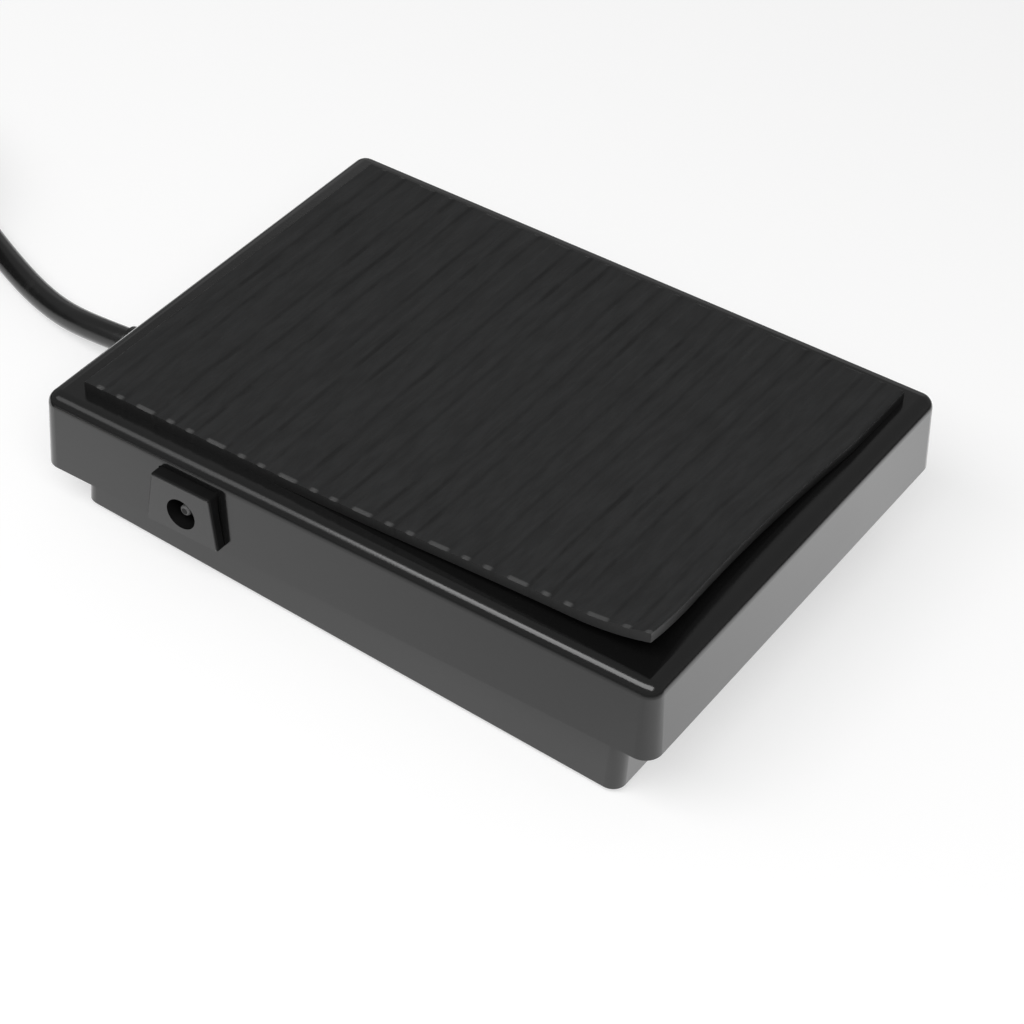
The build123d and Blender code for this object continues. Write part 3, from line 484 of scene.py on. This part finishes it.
def come_loose(graph, size, x, y):
    """How high the loose corner stands: the edges that run to it lift, and its tip curls up."""
    corner = (mat_high.x - x) + (y - mat_low.y)
    lift = size["Edge lift"] * (1.0 - graph.band(corner, size["Loose corner"], size["Lifted span"]))
    tip = 1.0 - graph.ramp(corner, 0.0, size["Tip span"])
    return lift + size["Tip lift"] * tip * tip


def drawn_in(graph, size, x, y):
    """How far the front end is drawn in round its middle."""
    off_bow = (y - size["Bow middle"]) / size["Bow half length"]
    bowed = graph.most(1.0 - off_bow * off_bow, 0.0)
    return size["Bow"] * bowed * graph.ramp(x, size["Bow start"], mat_high.x)


def mat_tree(sizes):
    """Ribs across the sheet in a repeating wide, narrow, narrow order, and the corner that has come loose."""
    graph, size = new_shape_tree("ribbed_mat", sizes)
    x, y, z = graph.parts(graph.node("GeometryNodeInputPosition"))
    stir = graph.vector(x / size["Waver length"], y / size["Waver length"] * 0.7, size["Seed"])
    waver = graph.node("ShaderNodeTexNoise", {}, {"Vector": stir, "Scale": 1.0, "Detail": 2.0}) - 0.5
    along = x + waver * size["Waver"] - size["First rib"]
    along = graph.maths("WRAP", along, size["Pitch"] * 0.8, size["Pitch"] * -0.2)
    ribs, flank_shades = rib_rows(graph, size, along)
    worn = graph.node("ShaderNodeTexNoise", {}, {"Vector": stir, "Scale": 2.6, "Detail": 3.0})
    groove = size["Rib height"] * (0.72 + 0.5 * worn) * (1.0 - ribs)
    edge = graph.least(y - mat_low.y, mat_high.y - y)
    bevel = size["End bevel"] * 0.5 * (1.0 - graph.ramp(edge, 0.0, size["End bevel"])) * ribs
    end_edge = graph.least(x - mat_low.x, mat_high.x - x)
    inward = 1.0 - graph.ramp(end_edge, 0.0, size["End rounding"])
    rounding = size["End rounding"] * (1.0 - graph.root(graph.most(1.0 - inward * inward, 0.0)))
    top = graph.above(z, mat_foot + mat_thickness / 2)
    drop = top * (graph.most(groove, bevel) + rounding * 0.6)
    height = z - drop + come_loose(graph, size, x, y)
    # face is 1 on the top only; the cut sides under it get painted shade
    face = graph.above(z, mat_foot + mat_thickness * (1 + ring_share) / 2)
    # painted highlight: only the rib ends along the -Y edge, the edge that faces the front softbox
    rib_end_glint = face * ribs * graph.band(y - mat_low.y, size["End bevel"] * 1.2, size["End bevel"] * 0.9)
    shape = size["Geometry"]
    for label, value in (("flank_shade", flank_shades), ("rib_end_glint", rib_end_glint), ("face", face)):
        kept = {"Geometry": shape, "Name": label, "Value": value}
        shape = graph.node("GeometryNodeStoreNamedAttribute", {"data_type": "FLOAT"}, kept)
    placed = {"Geometry": shape, "Position": graph.vector(x - drawn_in(graph, size, x, y), y, height)}
    moved = graph.node("GeometryNodeSetPosition", {}, placed)
    smooth = graph.node("GeometryNodeSetShadeSmooth", {}, {0: moved, 2: True})
    bend = graph.node("GeometryNodeInputMeshEdgeAngle", output="Unsigned Angle")
    sharp = graph.above(bend, size["Sharp angle"])
    edged = graph.node("GeometryNodeSetShadeSmooth", {"domain": "EDGE"}, {0: smooth, 1: sharp, 2: False})
    finish_tree(graph, edged, size["Finish"])
    return graph


def make_mat(materials):
    """The ribbed mat on the treadle."""
    fine = [e * mm for e in (0, 0.05, 0.12, 0.22, 0.34, 0.46, 0.56, 0.7)]
    xs = evenly(mat_low.x, mat_high.x, 0.2 * mm, fine)
    ys = evenly(mat_low.y, mat_high.y, 1.5 * mm, fine)
    sizes = [
        ("Float", "Pitch", 12.13 * mm),
        ("Float", "Wide rib", 3.0 * mm),
        ("Float", "Narrow rib", 1.15 * mm),
        ("Float", "First narrow", 4.32 * mm),
        ("Float", "Second narrow", 7.63 * mm),
        ("Float", "First rib", -34.5 * mm),
        ("Float", "Rib height", 0.16 * mm),
        ("Float", "Flank", 0.45 * mm),
        ("Float", "Shade line width", 0.42 * mm),
        ("Float", "End rounding", 0.4 * mm),
        ("Float", "End bevel", 0.5 * mm),
        ("Float", "Waver", 0.65 * mm),
        ("Float", "Waver length", 9.0 * mm),
        ("Float", "Edge lift", 1.85 * mm),
        ("Float", "Loose corner", 5.0 * mm),
        ("Float", "Lifted span", 62.0 * mm),
        ("Float", "Tip lift", 2.0 * mm),
        ("Float", "Tip span", 12.0 * mm),
        ("Float", "Bow", 0.9 * mm),
        ("Float", "Bow middle", -8.0 * mm),
        ("Float", "Bow half length", 26.0 * mm),
        ("Float", "Bow start", 20.0 * mm),
        ("Float", "Sharp angle", 0.7),
        ("Float", "Seed", 4.0),
        ("Material", "Finish", materials["mat_rubber"]),
    ]
    mat = grown("ribbed_mat", flat_slab("mat_slab", xs, ys, mat_thickness, mat_foot), mat_tree(sizes), sizes)
    mat.data.transform(raised())
    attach(mat, "treadle")
    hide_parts("tread_mat")


# ---------------------------------------------------------------- return springs

spring_x = 32.0 * mm
spring_side = 22.0 * mm  # each spring's distance from the middle line
spring_floor = 10.2 * mm
spring_wire = 1.0 * mm


def spring_tree(sizes):
    """An upright coil spring on each start point; its two end turns lie closed."""
    graph, size = new_shape_tree("wound_springs", sizes)
    turns = {"Rotations": size["Turns"], "Start Radius": size["Radius"], "End Radius": size["Radius"]}
    coil = graph.node("GeometryNodeCurveSpiral", {}, {"Resolution": 40, "Height": 1.0, **turns})
    x, y, way = graph.parts(graph.node("GeometryNodeInputPosition"))
    end_turn = 1.0 / size["Turns"]
    step = size["Wire"] * 1.02  # the climb of a closed turn
    closed = step * (graph.ramp(way, 0.0, end_turn) + graph.ramp(way, 1.0 - end_turn, 1.0))
    open_climb = graph.band(way, 0.64 * end_turn, 1.0 - 0.64 * end_turn)
    climb = (size["Height"] - size["Wire"] - 2.0 * step) * open_climb
    wound = {"Geometry": coil, "Position": graph.vector(x, y, closed + climb)}
    line = graph.node("GeometryNodeSetPosition", {}, wound)
    circle = {"Resolution": 14, "Radius": size["Wire"] / 2}
    section = graph.node("GeometryNodeCurvePrimitiveCircle", {}, circle)
    tube = {"Curve": line, "Profile Curve": section, "Fill Caps": True}
    wire = graph.node("GeometryNodeCurveToMesh", {}, tube)
    pair = graph.node("GeometryNodeInstanceOnPoints", {}, {"Points": size["Geometry"], "Instance": wire})
    finish_tree(graph, pair, size["Finish"])
    return graph


def make_springs(materials):
    """The two springs under the treadle's front."""
    seats = bpy.data.meshes.new("spring_seats")
    first_turn = spring_floor + spring_wire / 2 + 0.05 * mm
    seats.from_pydata([(spring_x, side * spring_side, first_turn) for side in (-1, 1)], [], [])
    sizes = [
        ("Float", "Turns", 4.0),
        ("Float", "Radius", 5.3 * mm),
        ("Float", "Wire", spring_wire),
        ("Float", "Height", 10.26 * mm),
        ("Material", "Finish", materials["spring_wire"]),
    ]
    springs = grown("wound_springs", seats, spring_tree(sizes), sizes)
    springs.data.shade_smooth()
    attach(springs, "base")
    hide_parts("return_springs")
    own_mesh(springs)


# ---------------------------------------------------------------- flex

flex_exit = (-57.95, -9.0, 5.6)
flex_width = 4.0
flex_run = [
    flex_exit, (-64.6, -8.9, 4.5), (-71.5, -7.7, 2.9), (-78.5, -5.7, 2.1), (-86.0, -3.0, 2.0),
    (-94.5, 0.6, 2.0), (-102.4, 4.3, 2.0),
]
flex_tail = [(-132.6, -42.6, 13.1), (-125.3, -47.3, 10.2), (-117.4, -50.9, 6.6), (-109.0, -53.7, 5.0)]
coil_middle = (-122.0, -16.2)
coil_start, coil_end = 64.5, 230.0  # degrees where the flex joins and leaves the coil
coil_wraps = 10  # whole turns before the last part of a turn
coil_layers = 4
layer_climb = 0.12  # share of a layer in which the flex climbs onto the next one
coil_inner, coil_outer = 15.9, 26.9
steps_per_turn = 16


def coil_turns():
    """The put-away turns, wound in and out in layers that lie on each other."""
    turns = coil_wraps + (coil_end - coil_start) / 360
    count = round(turns * steps_per_turn)
    bulge = 1 / math.cos(math.pi / steps_per_turn)
    points = []
    for step in range(count + 1):
        layer, share = divmod(coil_layers * step / count, 1)
        if step == count:
            layer, share = coil_layers - 1, 1.0
        climb = max(0.0, (share - 1) / layer_climb + 1) if layer < coil_layers - 1 else 0.0
        climb = climb * climb * (3 - 2 * climb)
        if layer % 2:
            share = 1 - share
        radius = (coil_outer + (coil_inner - coil_outer) * share) * bulge
        angle = math.radians(coil_start) + 2 * math.pi * turns * step / count
        x = coil_middle[0] + radius * math.cos(angle)
        y = coil_middle[1] + radius * math.sin(angle)
        points.append((x, y, flex_width * (0.5 + layer + climb)))
    return points


def make_flex(materials):
    """One smooth line from the relief over the floor into the coil, and from there into the plug."""
    line = bpy.data.curves.new("flex", "CURVE")
    line.dimensions = "3D"
    points = flex_run + coil_turns() + flex_tail
    spline = line.splines.new("NURBS")
    spline.points.add(len(points) - 1)
    for point, place in zip(spline.points, points):
        point.co = (*(c * mm for c in place), 1.0)
    spline.order_u = 3
    spline.use_endpoint_u = True
    spline.resolution_u = 6
    line.bevel_depth = flex_width / 2 * mm
    line.bevel_resolution = 6
    line.use_fill_caps = True
    line.materials.append(materials["cord_pvc"])
    flex = add_object("flex", line)
    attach(flex, "base")
    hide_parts("cord", "cord_coil", "cord_tail")


# ---------------------------------------------------------------- camera, floor and light

def stand_camera():
    """A long lens that looks down over the mat's loose corner, from the socket's side."""
    turn, height, roll = (math.radians(a) for a in (30.437, 42.6008, 6.0185))
    back = Vector((math.sin(turn) * math.cos(height), -math.cos(turn) * math.cos(height), math.sin(height)))
    level = Vector((math.cos(turn), math.sin(turn), 0))
    upright = back.cross(level)
    right = math.cos(roll) * level + math.sin(roll) * upright
    up = math.cos(roll) * upright - math.sin(roll) * level
    lens = bpy.data.cameras.new("camera")
    lens.lens = 104.736
    lens.sensor_width = 36
    lens.clip_start = 0.01
    camera = add_object("camera", lens)
    place = Vector((0.160846, -0.266439, 0.286025))
    camera.matrix_world = Matrix.Translation(place) @ Matrix((right, up, back)).transposed().to_4x4()
    bpy.context.scene.camera = camera


def painted_floor_glow(paint):
    """How brightly the floor glows in gloss: a painted pool of light round the pedal, with painted slopes and a
    brighter painted patch towards +X.
    """
    pedal_end, pedal_side = 50.0 * mm, 37.0 * mm
    x, y, _ = paint.parts(paint.node("ShaderNodeTexCoord", output="Object"))
    beside = paint.most(abs(x) - pedal_end, 0.0)
    before = paint.most(abs(y) - pedal_side, 0.0)
    away = paint.root(beside * beside + before * before)
    pool = 1.0 - paint.band(away, 0.0, 0.12)
    close = 1.0 - paint.band(away, 0.0, 0.012)
    glow_slope = 0.3 * paint.band(x, 0.03, -0.07) + 0.2 * close * paint.band(x, -0.03, 0.02)
    right_glow = paint.band(x, 0.03, 0.09) * (0.66 + 0.7 * paint.band(y, -0.05, 0.06))
    return 0.08 + pool * (0.83 + glow_slope + right_glow)


def lay_floor():
    """A wide pale table top: white to the lens, with a painted glow round the pedal in gloss, and keeping its
    shadow.
    """
    half = 20.0
    corners = [(-half, -half, 0), (half, -half, 0), (half, half, 0), (-half, half, 0)]
    mesh = bpy.data.meshes.new("floor")
    mesh.from_pydata(corners, [], [(0, 1, 2, 3)])
    floor = add_object("floor", mesh)
    material = bpy.data.materials.new("floor")
    material.use_nodes = True
    paint = Graph(material.node_tree)
    paint.tree.nodes.clear()
    lens = paint.node("ShaderNodeLightPath", output="Is Camera Ray")
    mirrored = paint.node("ShaderNodeLightPath", output="Is Glossy Ray")
    through = paint.node("ShaderNodeLightPath", output="Is Transmission Ray")
    looked_at = paint.least(lens + mirrored + through, 1.0)
    plain = paint.node("ShaderNodeBsdfDiffuse", {}, {"Color": grey(0.82)})
    pale = paint.node("ShaderNodeBsdfDiffuse", {}, {"Color": paint.mix(lens, grey(0.12), grey(0.5))})
    # painted light: the floor glows to glossy rays, brightest round the pedal
    seen = 0.56 * lens + (1.0 - lens) * painted_floor_glow(paint)
    glow = paint.node("ShaderNodeEmission", {}, {"Color": grey(1.0), "Strength": seen})
    bright = paint.node("ShaderNodeAddShader", {}, {0: pale, 1: glow})
    mixed = paint.node("ShaderNodeMixShader", {}, {0: looked_at, 1: plain, 2: bright})
    output = paint.tree.nodes.new("ShaderNodeOutputMaterial")
    paint.tree.links.new(mixed.socket, output.inputs["Surface"])
    mesh.materials.append(material)


def hang_softbox(name, place, width, height, power):
    """A softbox that faces the pedal."""
    box = bpy.data.lights.new(name, "AREA")
    box.shape = "RECTANGLE"
    box.size = width
    box.size_y = height
    box.energy = power
    lamp = add_object(name, box)
    lamp.location = place
    lamp.rotation_mode = "QUATERNION"
    lamp.rotation_quaternion = Vector(place).to_track_quat("Z", "Y")


def light_room():
    """A broad softbox in front, two weak ones at the left and behind, and a dim even room."""
    world = bpy.data.worlds.new("room")
    world.use_nodes = True
    world.node_tree.nodes["Background"].inputs["Color"].default_value = grey(1.0)
    world.node_tree.nodes["Background"].inputs["Strength"].default_value = 0.27
    bpy.context.scene.world = world
    hang_softbox("front_softbox", (0.06, -0.33, 0.5), 0.78, 0.3, 3.1)
    hang_softbox("left_softbox", (-0.4, -0.33, 0.5), 0.26, 0.3, 0.28)
    hang_softbox("back_panel", (-0.42, 0.83, 0.38), 0.9, 0.42, 0.3)


bpy.context.scene.view_settings.view_transform = "Standard"
stand_camera()
lay_floor()
light_room()
palette = finishes()
dress_frame(palette)
make_mat(palette)
make_springs(palette)
make_flex(palette)
